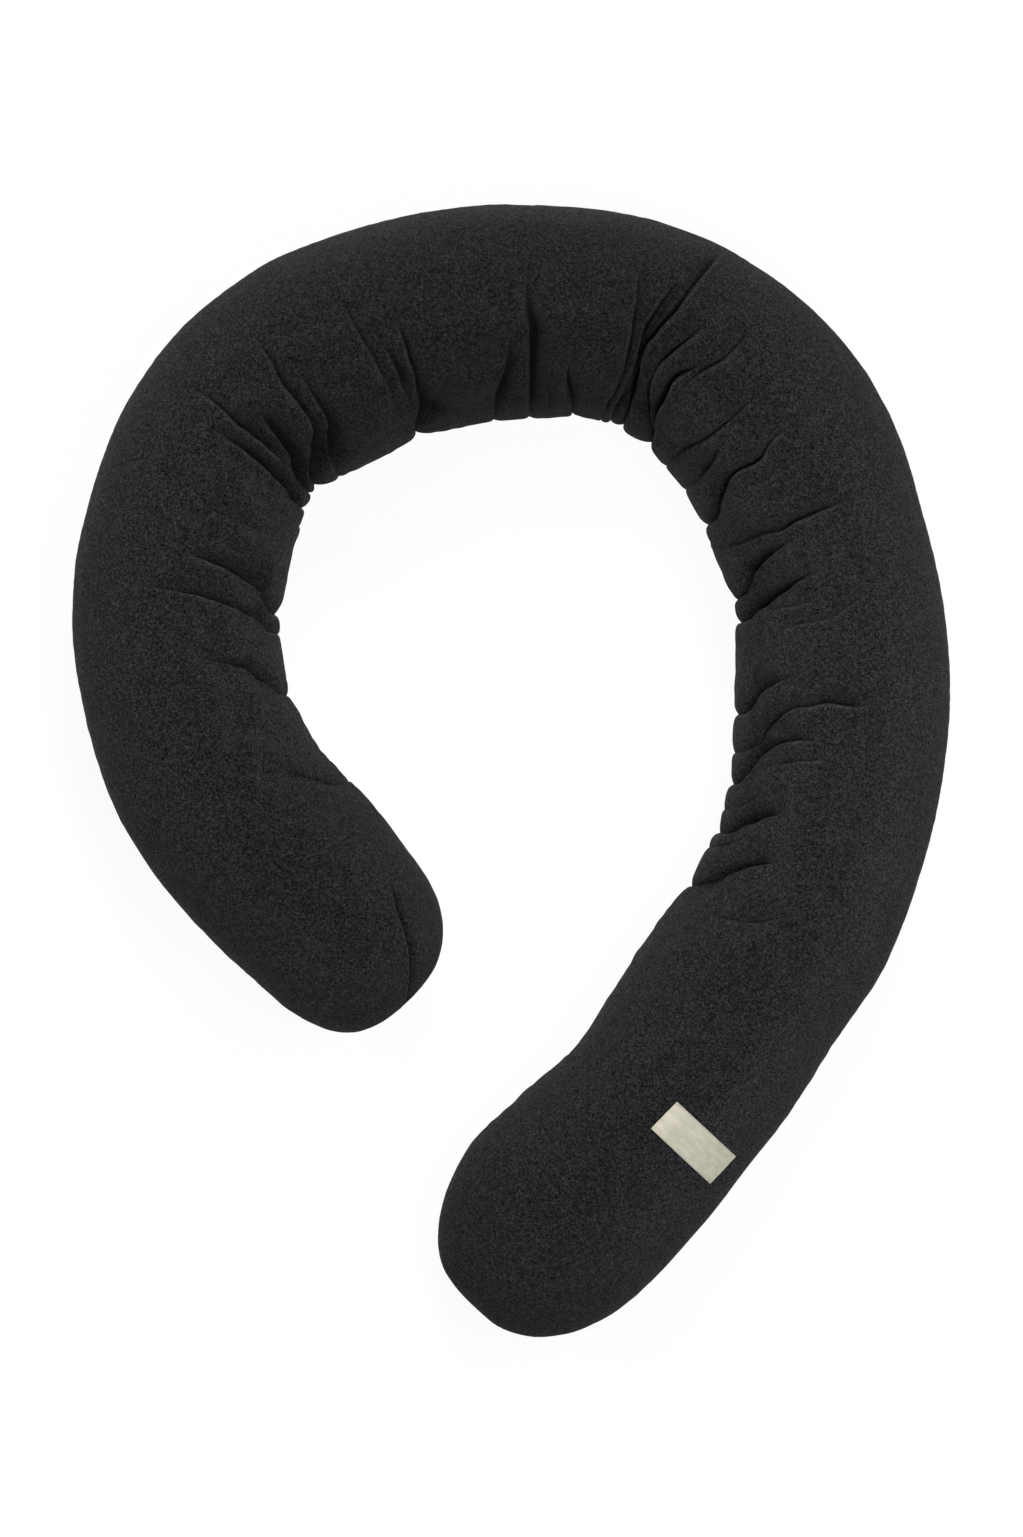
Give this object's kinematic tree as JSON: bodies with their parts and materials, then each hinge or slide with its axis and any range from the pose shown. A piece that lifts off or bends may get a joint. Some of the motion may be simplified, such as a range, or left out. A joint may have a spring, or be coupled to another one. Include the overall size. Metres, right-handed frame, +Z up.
{
  "type": "support cushion",
  "caption": "Long filled tube cushion of brushed jersey laid in an open loop, with gathered folds on the inside and a blank woven label.",
  "frame": {"origin": "on the surface that the cushion lies on, under the centre of its outline", "axes": "+Z up out of the surface, +Y towards the crown of the loop, +X towards the limb that carries the label"},
  "size_m": [0.7019, 0.9052, 0.1448],
  "materials": {
    "jersey": "brushed melange jersey, matt with a soft nap",
    "woven_label": "plain woven ribbon, matt"
  },
  "bodies": {
    "root": {"cushion": "jersey", "label": "woven_label"}
  },
  "joints": []
}
